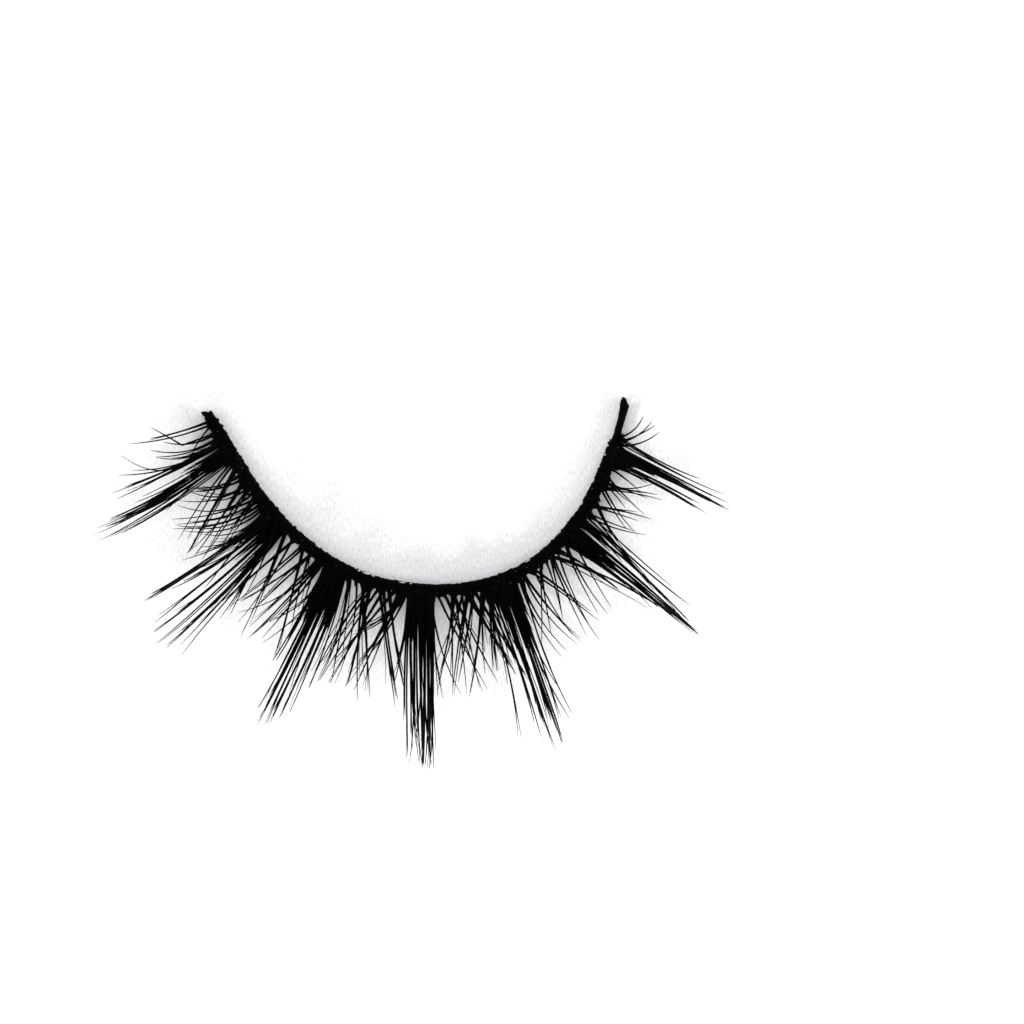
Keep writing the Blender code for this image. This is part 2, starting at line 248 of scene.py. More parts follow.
SPIKES = (
    Cluster("spike_1", (
        Strand(0.054, -12, 0.61, 0.09, 2),
        Strand(0.057, -5.5, 0.68, 0.02, 3),
        Strand(0.059, -2, 0.67, 0.00, 2),
        Strand(0.061, -4, 0.56, 0.02, 1),
        Strand(0.069, 0.5, 0.76, 0.04, 2),
        Strand(0.072, 0.5, 0.76, 0.02, 1),
        Strand(0.075, 0, 0.84, 0.03, 3),
        Strand(0.079, 0, 0.88, 0.03, 4),
        Strand(0.083, -1.5, 0.81, 0.04, 1),
        Strand(0.086, 1.5, 0.87, 0.01, 2),
        Strand(0.089, 1.2, 0.80, 0.02, 1),
        Strand(0.092, 1.4, 0.75, 0.02, 1),
        Strand(0.093, 5.5, 0.48, -0.07, 1),
    )),
    Cluster("spike_2", (
        Strand(0.199, -5.5, 0.86, 0.01, 6),
        Strand(0.203, -6, 0.84, 0.01, 4),
        Strand(0.209, -6, 0.71, 0.04, 5),
        Strand(0.213, -2.5, 0.85, 0.02, 1),
        Strand(0.218, -3, 0.89, 0.00, 2),
        Strand(0.222, -1.5, 0.93, 0.02, 7),
        Strand(0.227, 0.5, 0.97, 0.01, 1),
        Strand(0.230, 0.5, 0.95, 0.01, 1),
        Strand(0.233, 2, 0.95, 0.01, 6),
        Strand(0.235, 1, 0.86, 0.01, 2),
        Strand(0.237, 3.5, 0.88, 0.00, 2),
        Strand(0.221, 16.5, 0.64, 0.01, 1),
        Strand(0.224, 16.5, 0.58, 0.00, 1),
        Strand(0.225, 18.5, 0.59, -0.03, 1),
        Strand(0.192, 12.5, 0.57, -0.01, 1),
    )),
    Cluster("spike_3", (
        Strand(0.324, 4, 0.64, 0.01, 2),
        Strand(0.327, 4, 0.63, 0.01, 5),
        Strand(0.330, 5.5, 0.91, 0.01, 3),
        Strand(0.335, 5.5, 0.97, 0.00, 4),
        Strand(0.339, 4.5, 1.00, 0.00, 7),
        Strand(0.343, 5, 0.97, -0.01, 9),
        Strand(0.347, 5, 0.95, 0.00, 8),
        Strand(0.350, 3.5, 0.88, 0.00, 9),
        Strand(0.354, 4.5, 0.92, 0.01, 6),
        Strand(0.358, 5.5, 0.85, 0.01, 3),
        Strand(0.360, 9, 0.69, 0.02, 2),
        Strand(0.359, 6.5, 0.56, 0.01, 2),
    )),
    Cluster("spike_4", (
        Strand(0.471, 5.5, 0.95, -0.02, 2),
        Strand(0.470, 4, 0.74, -0.02, 2),
        Strand(0.475, 7.5, 0.97, -0.03, 2),
        Strand(0.473, 6, 0.89, -0.01, 2),
        Strand(0.478, 5, 0.82, 0.00, 1),
        Strand(0.481, 6, 0.96, -0.01, 1),
        Strand(0.486, 5.5, 1.00, -0.01, 9),
        Strand(0.491, 3.5, 0.99, 0.01, 10),
        Strand(0.498, 3.5, 1.00, 0.00, 8),
        Strand(0.504, 1, 1.00, 0.01, 3),
        Strand(0.510, 0.5, 0.85, -0.01, 1),
        Strand(0.488, 2, 0.86, 0.02, 1),
    )),
    Cluster("spike_5", (
        Strand(0.591, 0, 0.88, 0.03, 2),
        Strand(0.600, 3, 0.92, 0.02, 4),
        Strand(0.612, 1.5, 1.00, 0.00, 11),
        Strand(0.615, 0, 0.80, 0.01, 5),
        Strand(0.618, -2, 0.83, 0.01, 9),
        Strand(0.623, 0, 0.98, 0.01, 11),
        Strand(0.632, -2.5, 0.97, 0.00, 7),
        Strand(0.632, -5, 0.85, 0.00, 6),
        Strand(0.639, -4, 0.85, 0.01, 2),
        Strand(0.647, -4, 0.87, -0.06, 3),
        Strand(0.659, -8, 0.85, -0.04, 1),
        Strand(0.660, -10.5, 0.58, -0.04, 1),
    )),
    Cluster("spike_6", (
        Strand(0.729, 11.5, 0.44, 0.02, 1),
        Strand(0.742, 9, 0.55, 0.02, 2),
        Strand(0.746, 7.5, 0.68, 0.01, 3),
        Strand(0.754, 3.2, 0.90, 0.02, 3),
        Strand(0.760, 1.6, 0.93, 0.01, 6),
        Strand(0.767, -0.6, 0.92, 0.01, 6),
        Strand(0.774, -2.7, 0.90, 0.01, 9),
        Strand(0.783, -5.5, 0.85, 0.03, 3),
        Strand(0.793, -9.5, 0.63, 0.03, 2),
        Strand(0.800, -7, 0.80, -0.01, 1),
        Strand(0.806, -9, 0.65, 0.00, 1),
        Strand(0.810, -18.5, 0.61, 0.00, 1),
    )),
    Cluster("spike_7", (
        Strand(0.891, -4.5, 0.62, 0.04, 2),
        Strand(0.896, -5, 0.57, 0.03, 1),
        Strand(0.901, -5, 0.57, 0.02, 3),
        Strand(0.910, -5, 0.70, 0.01, 7),
        Strand(0.912, -5, 0.49, 0.01, 4),
        Strand(0.919, -8.5, 0.74, 0.01, 7),
        Strand(0.925, -8.5, 0.72, 0.00, 4),
        Strand(0.932, -8.5, 0.68, -0.01, 1),
        Strand(0.937, -11.5, 0.50, -0.01, 1),
        Strand(0.941, -10, 0.53, -0.03, 1),
    )),
)

# Short hairs that crowd each spike's root: how many, and the shortest and longest as shares of
# the reach
Body = namedtuple("Body", "hairs shortest longest")
BODIES = {
    "spike_1": Body(46, 0.16, 0.32),
    "spike_2": Body(44, 0.16, 0.38),
    "spike_3": Body(90, 0.16, 0.38),
    "spike_4": Body(64, 0.12, 0.32),
    "spike_5": Body(76, 0.15, 0.48),
    "spike_6": Body(50, 0.12, 0.36),
    "spike_7": Body(46, 0.14, 0.34),
}

FILLS = (
    Cluster("fill_1", (
        Strand(0.094, 24, 0.88, -0.04, 1),
        Strand(0.098, 27, 0.83, -0.04, 1),
        Strand(0.105, 29, 0.92, -0.01, 5),
        Strand(0.108, 28, 0.79, -0.01, 4),
        Strand(0.128, 26, 0.85, 0.01, 2),
        Strand(0.132, 20, 0.83, 0.04, 1),
        Strand(0.147, 23, 0.80, 0.00, 1),
        Strand(0.145, 24, 0.76, -0.03, 1),
        Strand(0.162, 22, 0.57, -0.02, 2),
        Strand(0.166, 22, 0.50, 0.00, 1),
        Strand(0.121, -18, 0.50, 0.09, 2),
        Strand(0.128, -19, 0.51, 0.07, 3),
        Strand(0.137, -25, 0.54, 0.17, 2),
        Strand(0.139, -20, 0.66, 0.11, 1),
        Strand(0.144, -19, 0.48, 0.13, 1),
        Strand(0.157, -26, 0.71, 0.16, 1),
        Strand(0.167, -22, 0.81, 0.06, 1),
        Strand(0.173, -21, 0.78, 0.07, 2),
        Strand(0.179, -22, 0.84, 0.09, 2),
        Strand(0.183, -25, 0.81, 0.13, 1),
        Strand(0.187, -23, 0.77, 0.13, 1),
        Strand(0.189, -18, 0.65, 0.17, 1),
        Strand(0.190, -2, 0.54, 0.06, 2),
        Strand(0.196, -11, 0.90, 0.07, 2),
        Strand(0.200, -15, 0.71, 0.12, 2),
        Strand(0.203, -12, 0.64, 0.11, 2),
    )),
    Cluster("fill_2", (
        Strand(0.218, 25, 0.78, 0.02, 1),
        Strand(0.238, 23, 1.05, 0.01, 2),
        Strand(0.241, 24, 0.92, 0.00, 1),
        Strand(0.256, 11, 0.92, 0.02, 1),
        Strand(0.260, -7, 0.88, -0.01, 4),
        Strand(0.275, -9, 0.74, 0.00, 1),
        Strand(0.279, -12, 0.87, 0.02, 1),
        Strand(0.296, -20, 0.80, 0.02, 3),
        Strand(0.296, -10, 0.79, 0.00, 2),
        Strand(0.312, -23, 0.89, 0.10, 1),
        Strand(0.309, -11, 0.90, 0.01, 2),
        Strand(0.319, -11, 1.00, 0.00, 2),
        Strand(0.314, -8, 0.92, 0.03, 1),
        Strand(0.330, -16, 0.79, 0.11, 2),
        Strand(0.320, -6, 0.90, 0.01, 2),
        Strand(0.337, -12, 0.95, 0.06, 1),
        Strand(0.342, -12, 0.73, 0.08, 1),
        Strand(0.278, 26, 1.04, 0.00, 4),
        Strand(0.293, 23, 0.71, -0.03, 2),
        Strand(0.307, 19, 0.60, -0.01, 2),
        Strand(0.323, 12, 0.60, -0.01, 2),
        Strand(0.329, 8, 0.50, 0.00, 1),
    )),
    Cluster("fill_3", (
        Strand(0.365, 11, 1.00, 0.05, 2),
        Strand(0.369, 15, 1.01, 0.00, 2),
        Strand(0.380, 12, 0.99, 0.05, 1),
        Strand(0.389, 26, 1.08, -0.01, 2),
        Strand(0.406, -14, 1.09, -0.04, 2),
        Strand(0.410, -14, 1.02, -0.03, 1),
        Strand(0.420, -18, 1.02, -0.01, 2),
        Strand(0.429, -17, 1.02, -0.01, 3),
        Strand(0.446, -31, 0.86, 0.01, 4),
        Strand(0.453, -16, 1.01, 0.00, 3),
        Strand(0.455, -13, 0.94, 0.00, 2),
        Strand(0.461, -25, 0.89, 0.03, 3),
        Strand(0.464, -44, 0.65, 0.08, 3),
        Strand(0.466, -43, 0.61, 0.10, 3),
        Strand(0.466, -25, 0.75, 0.04, 3),
        Strand(0.419, 23, 1.11, -0.01, 4),
        Strand(0.426, 21, 1.05, -0.02, 3),
        Strand(0.435, 21, 0.95, -0.02, 6),
        Strand(0.468, -2, 0.88, 0.02, 3),
        Strand(0.397, 21, 0.59, -0.08, 1),
        Strand(0.394, 17, 1.10, -0.03, 3),
        Strand(0.404, 5, 0.98, 0.01, 6),
    )),
    Cluster("fill_4", (
        Strand(0.514, 29, 1.02, -0.02, 1),
        Strand(0.505, 18, 0.98, -0.06, 1),
        Strand(0.505, 8, 0.98, -0.03, 2),
        Strand(0.508, 4, 0.96, -0.01, 1),
        Strand(0.526, 20, 0.98, 0.01, 2),
        Strand(0.541, 23, 0.93, -0.02, 2),
        Strand(0.559, 26, 0.91, 0.00, 7),
        Strand(0.575, 21, 0.97, 0.00, 4),
        Strand(0.587, 13, 0.83, 0.01, 4),
        Strand(0.565, 22, 0.82, -0.01, 3),
        Strand(0.545, -15, 0.95, 0.01, 3),
        Strand(0.557, -22, 0.78, 0.02, 2),
        Strand(0.565, -17, 0.97, -0.01, 2),
        Strand(0.568, -17, 0.96, -0.01, 1),
        Strand(0.575, -20, 0.87, 0.01, 3),
        Strand(0.589, -20, 1.01, 0.02, 5),
        Strand(0.593, -14, 0.81, -0.03, 2),
        Strand(0.602, -14, 0.80, -0.01, 2),
        Strand(0.610, -16, 0.81, -0.03, 4),
        Strand(0.539, -3, 0.90, 0.00, 2),
        Strand(0.544, 3, 0.94, 0.00, 1),
        Strand(0.555, 5, 0.91, -0.02, 1),
    )),
    Cluster("fill_5", (
        Strand(0.660, 13, 0.84, -0.03, 2),
        Strand(0.660, 10, 0.84, -0.07, 1),
        Strand(0.654, 6, 0.84, -0.07, 1),
        Strand(0.652, 2, 0.86, -0.06, 1),
        Strand(0.670, 25, 0.81, 0.01, 2),
        Strand(0.677, 22, 0.69, 0.01, 2),
        Strand(0.679, -2, 0.74, -0.03, 1),
        Strand(0.693, -34, 0.77, 0.01, 1),
        Strand(0.694, -27, 0.70, -0.01, 1),
        Strand(0.703, -22, 0.61, 0.03, 1),
        Strand(0.713, -29, 0.61, 0.01, 1),
        Strand(0.713, -16, 0.83, -0.01, 1),
        Strand(0.717, -13, 0.92, -0.03, 1),
        Strand(0.728, -21, 0.80, -0.03, 1),
        Strand(0.745, -22, 0.76, -0.03, 1),
        Strand(0.747, -18, 0.80, -0.04, 1),
        Strand(0.760, -21, 0.78, -0.01, 1),
        Strand(0.710, 25, 0.73, 0.07, 3),
        Strand(0.722, 19, 0.58, 0.04, 1),
        Strand(0.710, 26, 1.15, 0.04, 3),
    )),
    Cluster("fill_6", (
        Strand(0.830, -30, 0.65, -0.05, 1),
        Strand(0.836, -31, 0.64, -0.08, 1),
        Strand(0.852, -33, 0.48, -0.02, 1),
        Strand(0.859, -32, 0.56, -0.04, 1),
        Strand(0.870, -22, 0.35, -0.04, 1),
        Strand(0.875, -23, 0.54, -0.02, 1),
        Strand(0.888, -16, 0.40, 0.03, 1),
        Strand(0.861, -25, 0.34, 0.04, 1),
        Strand(0.816, 24, 0.46, 0.01, 1),
        Strand(0.818, 18, 0.59, 0.02, 2),
        Strand(0.818, 12, 0.48, 0.01, 1),
        Strand(0.805, 12, 0.51, -0.02, 1),
        Strand(0.801, 16, 0.61, -0.06, 1),
        Strand(0.852, 18, 0.55, 0.01, 2),
        Strand(0.848, 16, 0.60, 0.03, 1),
        Strand(0.861, 24, 0.51, -0.12, 1),
        Strand(0.863, 3, 0.46, 0.00, 1),
    )),
)

CORNERS = (
    Cluster("outer_corner_hairs", (
        Strand(0.017, -14, 0.77, 0.02, 2),
        Strand(0.023, -17, 1.03, 0.04, 1),
        Strand(0.040, -21, 0.68, 0.11, 1),
        Strand(0.025, 26, 0.45, -0.05, 1),
        Strand(0.047, -19, 0.86, 0.11, 1),
        Strand(0.049, -14, 0.83, 0.08, 1),
        Strand(0.051, -14, 0.83, 0.13, 1),
    )),
    Cluster("inner_corner_hairs", (
        Strand(0.941, 61, 0.43, -0.13, 1),
        Strand(0.933, 43, 0.53, -0.05, 1),
        Strand(0.932, 51, 0.53, -0.11, 1),
        Strand(0.926, 37, 0.59, -0.10, 1),
    )),
)

# The one hair at the outer corner that is bent at a sharp kink
KINKED_HAIR = Strand(0.039, -36, 0.82, 0.24, 1)

# Hairs that curl round at their tips: the cluster, the hair, its width as a share of a hair's, and
# how far its tip hooks sideways as a share of its reach
Hooked = namedtuple("Hooked", "cluster strand width hook")
HOOKED_HAIRS = (
    Hooked("spike_1", Strand(0.052, -7.5, 0.55, 0.10, 1), 0.75, -0.25),
    Hooked("spike_2", Strand(0.237, 4.5, 0.92, 0.01, 1), 0.8, 0.035),
    Hooked("spike_4", Strand(0.478, 5.5, 0.975, -0.01, 1), 0.85, -0.035),
    Hooked("spike_4", Strand(0.483, 4.5, 0.985, -0.01, 1), 0.85, 0.03),
    Hooked("spike_4", Strand(0.492, 3.8, 0.985, 0, 1), 1.0, 0.045),
    Hooked("spike_4", Strand(0.497, 3.3, 1.0, 0, 1), 1.1, -0.02),
    Hooked("spike_4", Strand(0.501, 3, 1.0, 0.005, 1), 1.2, 0.015),
    Hooked("spike_4", Strand(0.506, 1.5, 0.99, 0.005, 1), 1.1, -0.01),
)

# Slivers of pale dried glue on the band's inner edge: share of the length, and length
GLUE_SLIVERS = (
    (0.378, 0.16 * MM),
    (0.392, 0.42 * MM),
    (0.404, 0.22 * MM),
    (0.455, 0.36 * MM),
    (0.470, 0.14 * MM),
    (0.677, 0.34 * MM),
    (0.905, 0.12 * MM),
)


def trace_band():
    """The centre line as dense points with the distance along it at each."""
    rows = np.array(BAND_CURVE) * (BAND_SPAN, BAND_RISE)
    rows = np.vstack([2 * rows[0] - rows[1], rows, 2 * rows[-1] - rows[-2]])
    points = []
    for before, start, end, after in zip(rows, rows[1:], rows[2:], rows[3:]):
        t = np.linspace(0.0, 1.0, CURVE_STEPS, endpoint=False)[:, None]
        slope_start = (end - before) / 2
        slope_end = (after - start) / 2
        fall = 2 * start - 2 * end + slope_start + slope_end
        rise = 3 * end - 3 * start - 2 * slope_start - slope_end
        points.append(((fall * t + rise) * t + slope_start) * t + start)
    points.append(rows[-2][None])
    points = np.vstack(points)
    steps = np.linalg.norm(np.diff(points, axis=0), axis=1)
    lengths = np.concatenate([[0.0], np.cumsum(steps)])
    return points, lengths


BAND_POINTS, BAND_LENGTHS = trace_band()
BAND_LENGTH = BAND_LENGTHS[-1]
BAND_SHARES = BAND_LENGTHS / BAND_LENGTH
BAND_ALONG = np.gradient(BAND_POINTS, axis=0)
BAND_ALONG /= np.linalg.norm(BAND_ALONG, axis=1)[:, None]


def on_band(share):
    """Point, direction and outward side of the centre line at one share or many."""
    point = np.stack([np.interp(share, BAND_SHARES, BAND_POINTS[:, k]) for k in (0, 1)], -1)
    along = np.stack([np.interp(share, BAND_SHARES, BAND_ALONG[:, k]) for k in (0, 1)], -1)
    along /= np.linalg.norm(along, axis=-1, keepdims=True)
    outward = np.stack([along[..., 1], -along[..., 0]], -1)
    return point, along, outward


def unit_rows(rows):
    return rows / np.linalg.norm(rows, axis=-1, keepdims=True)


def spread(amount):
    return amount * RNG.uniform(-1.0, 1.0)


def waver(share, pitch, amount):
    """A smooth random rise and fall along the band, with a knot every pitch."""
    knots = max(4, int(BAND_LENGTH / pitch))
    heights = RNG.uniform(-amount, amount, knots)
    place = np.clip(share, 0.0, 1.0) * (knots - 1)
    index = np.minimum(place.astype(int), knots - 2)
    t = place - index
    ease = t * t * (3 - 2 * t)
    return heights[index] * (1 - ease) + heights[index + 1] * ease


class Strands:
    """Gathers closed tubes into one mesh, with a tone for each."""

    def __init__(self):
        self.vertices = []
        self.faces = []
        self.tones = []
        self.count = 0

    def rings(self, rings, tone):
        """Join a stack of rings, an array of stations by sides by three, into a capped tube."""
        stations, sides = rings.shape[:2]
        first = self.count
        self.vertices.append(rings.reshape(-1, 3))
        self.count += stations * sides
        for station in range(stations - 1):
            low = first + station * sides
            high = low + sides
            for side in range(sides):
                following = (side + 1) % sides
                self.faces.append((low + side, low + following, high + following, high + side))
        self.faces.append(tuple(first + side for side in reversed(range(sides))))
        last = first + (stations - 1) * sides
        self.faces.append(tuple(last + side for side in range(sides)))
        self.tones.append(np.full(stations * sides, tone))

    def tube(self, centres, across, lifts, widths, heights, sides, tone):
        """One tube: centres with a sideways and a lifting direction and half sizes at each."""
        angles = np.arange(sides) * 2 * np.pi / sides
        sideways = across[:, None] * (np.cos(angles)[None, :] * widths[:, None])[..., None]
        lifted = lifts[:, None] * (np.sin(angles)[None, :] * heights[:, None])[..., None]
        self.rings(centres[:, None] + sideways + lifted, tone)

    def build(self, name, material, *nodes, slot):
        mesh = bpy.data.meshes.new(name)
        mesh.from_pydata(np.vstack(self.vertices).tolist(), [], self.faces)
        layer = mesh.attributes.new("tone", "FLOAT", "POINT")
        layer.data.foreach_set("value", np.concatenate(self.tones).astype(np.float32))
        mesh.shade_smooth()
        mesh.materials.append(material)
        piece = bpy.data.objects.new(name, mesh)
        bpy.context.scene.collection.objects.link(piece)
        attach(piece, "root")
        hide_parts(*nodes)


def curl(root_angle, tip_angle):
    """Run, flat distance and height along a curling hair of flat reach 1."""
    t = (np.arange(CURL_STEPS) + 0.5) / CURL_STEPS
    slope = np.radians(root_angle + (tip_angle - root_angle) * t ** CURL_POWER)
    flat = np.concatenate([[0.0], np.cumsum(np.cos(slope))])
    height = np.concatenate([[0.0], np.cumsum(np.sin(slope))])
    scale = flat[-1]
    picks = np.linspace(0.0, 1.0, HAIR_STATIONS)
    ends = np.linspace(0.0, 1.0, CURL_STEPS + 1)
    return picks, np.interp(picks, ends, flat / scale), np.interp(picks, ends, height / scale)


def strand_frame(strand):
    """Where a strand leaves the band, its flat heading, and the side that its bow counts towards."""
    point, along, outward = on_band(strand.share)
    lean = math.radians(strand.lean)
    ahead = math.cos(lean) * outward + math.sin(lean) * along
    beside = math.cos(lean) * along - math.sin(lean) * outward
    root = point + outward * BAND_WIDTH * ROOT_INSET
    return root, ahead, beside


def smooth_bow(flat):
    return 4 * flat * (1 - flat)


def sharp_kink(flat):
    return 1 - np.abs(2 * flat - 1)


def hair_path(strand, reach, root_z, root_angle, tip_angle, root_shift, tip_shift, hook, shape):
    """Run, centres, sideways and lifting directions of a hair from its root to its tip."""
    picks, flat, height = curl(root_angle, tip_angle)
    root, ahead, beside = strand_frame(strand)
    length = reach - BAND_WIDTH * ROOT_INSET
    sideways = (shape(flat) * strand.bow * length
                + root_shift * (1 - flat) ** 1.3
                + tip_shift * flat ** 3
                + hook * length * flat ** 6)
    plan = root + ahead * (flat * length)[:, None] + beside * sideways[:, None]
    centres = np.column_stack([plan, root_z + height * length])
    heading = unit_rows(np.gradient(centres, axis=0))
    across = unit_rows(np.column_stack([-heading[:, 1], heading[:, 0], np.zeros(len(heading))]))
    return picks, centres, across, np.cross(heading, across)


def add_hair(strands, strand, reach, root_z, root_angle, radius, root_shift=0.0, tip_shift=0.0,
             hook=0.0, tip_angle=TIP_ANGLE, shape=smooth_bow, taper=FILL_TAPER):
    """One hair: its two ends shift sideways, and hook bends the last part of it."""
    picks, centres, across, lifts = hair_path(
        strand, reach, root_z, root_angle, tip_angle, root_shift, tip_shift, hook, shape)
    radii = HAIR_TIP_RADIUS + (radius - HAIR_TIP_RADIUS) * (1 - picks ** taper)
    strands.tube(centres, across, lifts, radii, radii, HAIR_SIDES, RNG.random())


def add_spike_strand(strands, strand):
    """Hairs that part at the root, meet towards the tip and end at uneven lengths."""
    parting = SPIKE_PARTING * math.sqrt(strand.hairs - 1)
    layer = SPIKE_ROOT_Z + spread(SPIKE_LAYER_SPREAD)
    for hair in range(strand.hairs):
        first = hair == 0
        length = 1.0 if first else 1.0 - SPIKE_UNEVENNESS * RNG.random() ** 1.3
        add_hair(
            strands, strand, SPIKE_REACH * strand.reach * length,
            layer + spread(SPIKE_HAIR_SPREAD), SPIKE_ROOT_ANGLE + spread(ROOT_ANGLE_SPREAD),
            HAIR_RADIUS * RNG.uniform(*SPIKE_WIDTHS),
            root_shift=0.0 if first else spread(parting),
            tip_shift=0.0 if first else spread(parting * SPIKE_TIP_PARTING),
            hook=spread(HOOK_SPREAD),
            tip_angle=TIP_ANGLE + spread(TIP_ANGLE_SPREAD), taper=SPIKE_TAPER)


def add_fill_strand(strands, strand, full_reach, taper):
    """One firm hair, thicker for a fuller strand, and thin ones that part from it near its tip."""
    layer = FILL_ROOT_Z + math.copysign(FILL_LAYER_GAP, strand.lean) + spread(FILL_HAIR_SPREAD)
    full = full_reach * strand.reach
    add_hair(
        strands, strand, full, layer, FILL_ROOT_ANGLE + spread(ROOT_ANGLE_SPREAD),
        HAIR_RADIUS * (0.80 + 0.13 * (strand.hairs - 1)),
        hook=spread(HOOK_SPREAD), tip_angle=TIP_ANGLE + spread(FIRM_TIP_ANGLE_SPREAD), taper=taper)
    for _ in range(strand.hairs - 1):
        add_hair(
            strands, strand, full * RNG.uniform(*FINE_LENGTHS),
            layer + spread(FILL_HAIR_SPREAD), FILL_ROOT_ANGLE + spread(ROOT_ANGLE_SPREAD),
            HAIR_RADIUS * RNG.uniform(*FINE_WIDTHS),
            root_shift=spread(FILL_PARTING), tip_shift=spread(FILL_TIP_PARTING),
            tip_angle=TIP_ANGLE + spread(TIP_ANGLE_SPREAD), taper=taper)


def add_body(strands, cluster):
    """Short hairs that crowd a spike's root, between and along its strands."""
    body = BODIES[cluster.name]
    rows = np.array([strand[:4] for strand in sorted(cluster.strands) if strand.hairs > 1])
    for _ in range(body.hairs):
        place = RNG.uniform(0.0, len(rows) - 1)
        share, lean, reach, bow = (np.interp(place, np.arange(len(rows)), rows[:, k])
                                   for k in range(4))
        add_hair(
            strands, Strand(share, lean + spread(BODY_LEAN_SPREAD), reach, bow, 1),
            SPIKE_REACH * RNG.uniform(body.shortest, body.longest),
            SPIKE_ROOT_Z + spread(BODY_LAYER_SPREAD),
            SPIKE_ROOT_ANGLE + spread(BODY_ROOT_ANGLE_SPREAD),
            HAIR_RADIUS * RNG.uniform(*BODY_WIDTHS),
            root_shift=spread(BODY_PARTING), tip_shift=spread(BODY_PARTING),
            tip_angle=TIP_ANGLE * RNG.uniform(*BODY_TIP_ANGLES), taper=SPIKE_TAPER)


def add_strays(strands, cluster, full_reach, root_z, root_angle, chance, lean, taper):
    """A thin loose hair beside some strands, which leaves at a slightly different lean."""
    for strand in cluster.strands:
        if strand.hairs > 1 and RNG.random() < chance:
            add_hair(
                strands,
                strand._replace(lean=strand.lean + spread(lean),
                                bow=strand.bow + spread(lean * STRAY_BOW_PER_DEGREE)),
                full_reach * strand.reach * RNG.uniform(*STRAY_LENGTHS),
                root_z + spread(STRAY_LAYER_SPREAD), root_angle + spread(STRAY_ROOT_ANGLE_SPREAD),
                HAIR_RADIUS * RNG.uniform(*STRAY_WIDTHS),
                root_shift=spread(STRAY_PARTING), hook=spread(STRAY_HOOK_SPREAD),
                tip_angle=TIP_ANGLE + spread(STRAY_TIP_ANGLE_SPREAD), taper=taper)


def make_spike(cluster, material):
    strands = Strands()
    for strand in cluster.strands:
        add_spike_strand(strands, strand)
    add_body(strands, cluster)
    add_hooked_hairs(strands, cluster)
    add_strays(strands, cluster, SPIKE_REACH, SPIKE_ROOT_Z, SPIKE_ROOT_ANGLE,
               SPIKE_STRAY_CHANCE, SPIKE_STRAY_LEAN, SPIKE_TAPER)
    strands.build(cluster.name + "_hair", material, cluster.name, slot="fibre")


def make_fill(cluster, material):
    strands = Strands()
    for strand in cluster.strands:
        add_fill_strand(strands, strand, FILL_REACH, FILL_TAPER)
    add_strays(strands, cluster, FILL_REACH, FILL_ROOT_Z, FILL_ROOT_ANGLE,
               FILL_STRAY_CHANCE, FILL_STRAY_LEAN, FILL_TAPER)
    strands.build(cluster.name + "_hair", material, cluster.name, slot="fibre")


def make_corner(cluster, material):
    strands = Strands()
    for strand in cluster.strands:
        add_fill_strand(strands, strand, CORNER_REACH, SPIKE_TAPER)
    strands.build(cluster.name + "_hair", material, cluster.name, slot="fibre")


def make_kinked_hair(material):
    strands = Strands()
    add_hair(strands, KINKED_HAIR, CORNER_REACH * KINKED_HAIR.reach, FILL_ROOT_Z, FILL_ROOT_ANGLE,
             HAIR_RADIUS * 1.1, shape=sharp_kink)
    strands.build("kinked_hair", material, "outer_corner_hairs", slot="fibre")


def add_hooked_hairs(strands, cluster):
    for hooked in HOOKED_HAIRS:
        if hooked.cluster == cluster.name:
            add_hair(
                strands, hooked.strand, SPIKE_REACH * hooked.strand.reach,
                SPIKE_ROOT_Z, SPIKE_ROOT_ANGLE, HAIR_RADIUS * hooked.width,
                hook=hooked.hook, taper=SPIKE_TAPER)


def add_sheath(strands, strand, reach, root_z, root_angle):
    """Glue that has run out along a strand from its knot and thins to nothing."""
    _, centres, across, lifts = hair_path(
        strand, reach, root_z, root_angle, TIP_ANGLE, 0.0, 0.0, 0.0, smooth_bow)
    count = round(HAIR_STATIONS * RNG.uniform(*SHEATH_LENGTHS))
    fade = np.linspace(1.0, 0.0, count) ** 0.8
    full = HAIR_RADIUS * (0.60 + 0.68 * math.sqrt(strand.hairs))
    thinnest = HAIR_RADIUS * 0.6
    widths = thinnest + (full - thinnest) * fade
    strands.tube(centres[:count], across[:count], lifts[:count], widths, widths * 0.8,
                 SHEATH_SIDES, RNG.random())


def make_knots(cluster, full_reach, root_z, root_angle, fillet, sheathed, material):
    """The glued root of each strand flares into the band with a round fillet on both sides."""
    strands = Strands()
    for strand in cluster.strands:
        root, ahead, beside = strand_frame(strand)
        outward = on_band(strand.share)[2]
        size = fillet * RNG.uniform(*FILLET_SHARES)
        stalk = HAIR_RADIUS * (0.85 + 0.4 * math.sqrt(strand.hairs))
        start = root + outward * BAND_WIDTH * (0.5 - ROOT_INSET) * 0.7
        run = np.array(KNOT_STATIONS)
        close = np.clip(run, 0.0, 1.0)
        flare = size * (1 - np.sqrt(1 - (1 - close) ** 2))
        plan = start + ahead * (run * size)[:, None]
        centres = np.column_stack([plan, root_z + run * size * 0.1])
        widths = stalk * np.where(run > 1.0, 0.7, 1.0) + flare
        heights = stalk * 0.8 + 0.12 * MM * (1 - close)
        across = np.tile([beside[0], beside[1], 0.0], (len(run), 1))
        lifts = np.tile([0.0, 0.0, 1.0], (len(run), 1))
        strands.tube(centres, across, lifts, widths, heights, KNOT_SIDES, RNG.random())
        if sheathed:
            add_sheath(strands, strand, full_reach * strand.reach, root_z, root_angle)
    strands.build(cluster.name + "_knots", material, cluster.name, slot="band")


def band_half_width(share):
    places, fullness = np.array(BAND_FULLNESS).T
    return np.interp(share, places, fullness) * BAND_WIDTH / 2


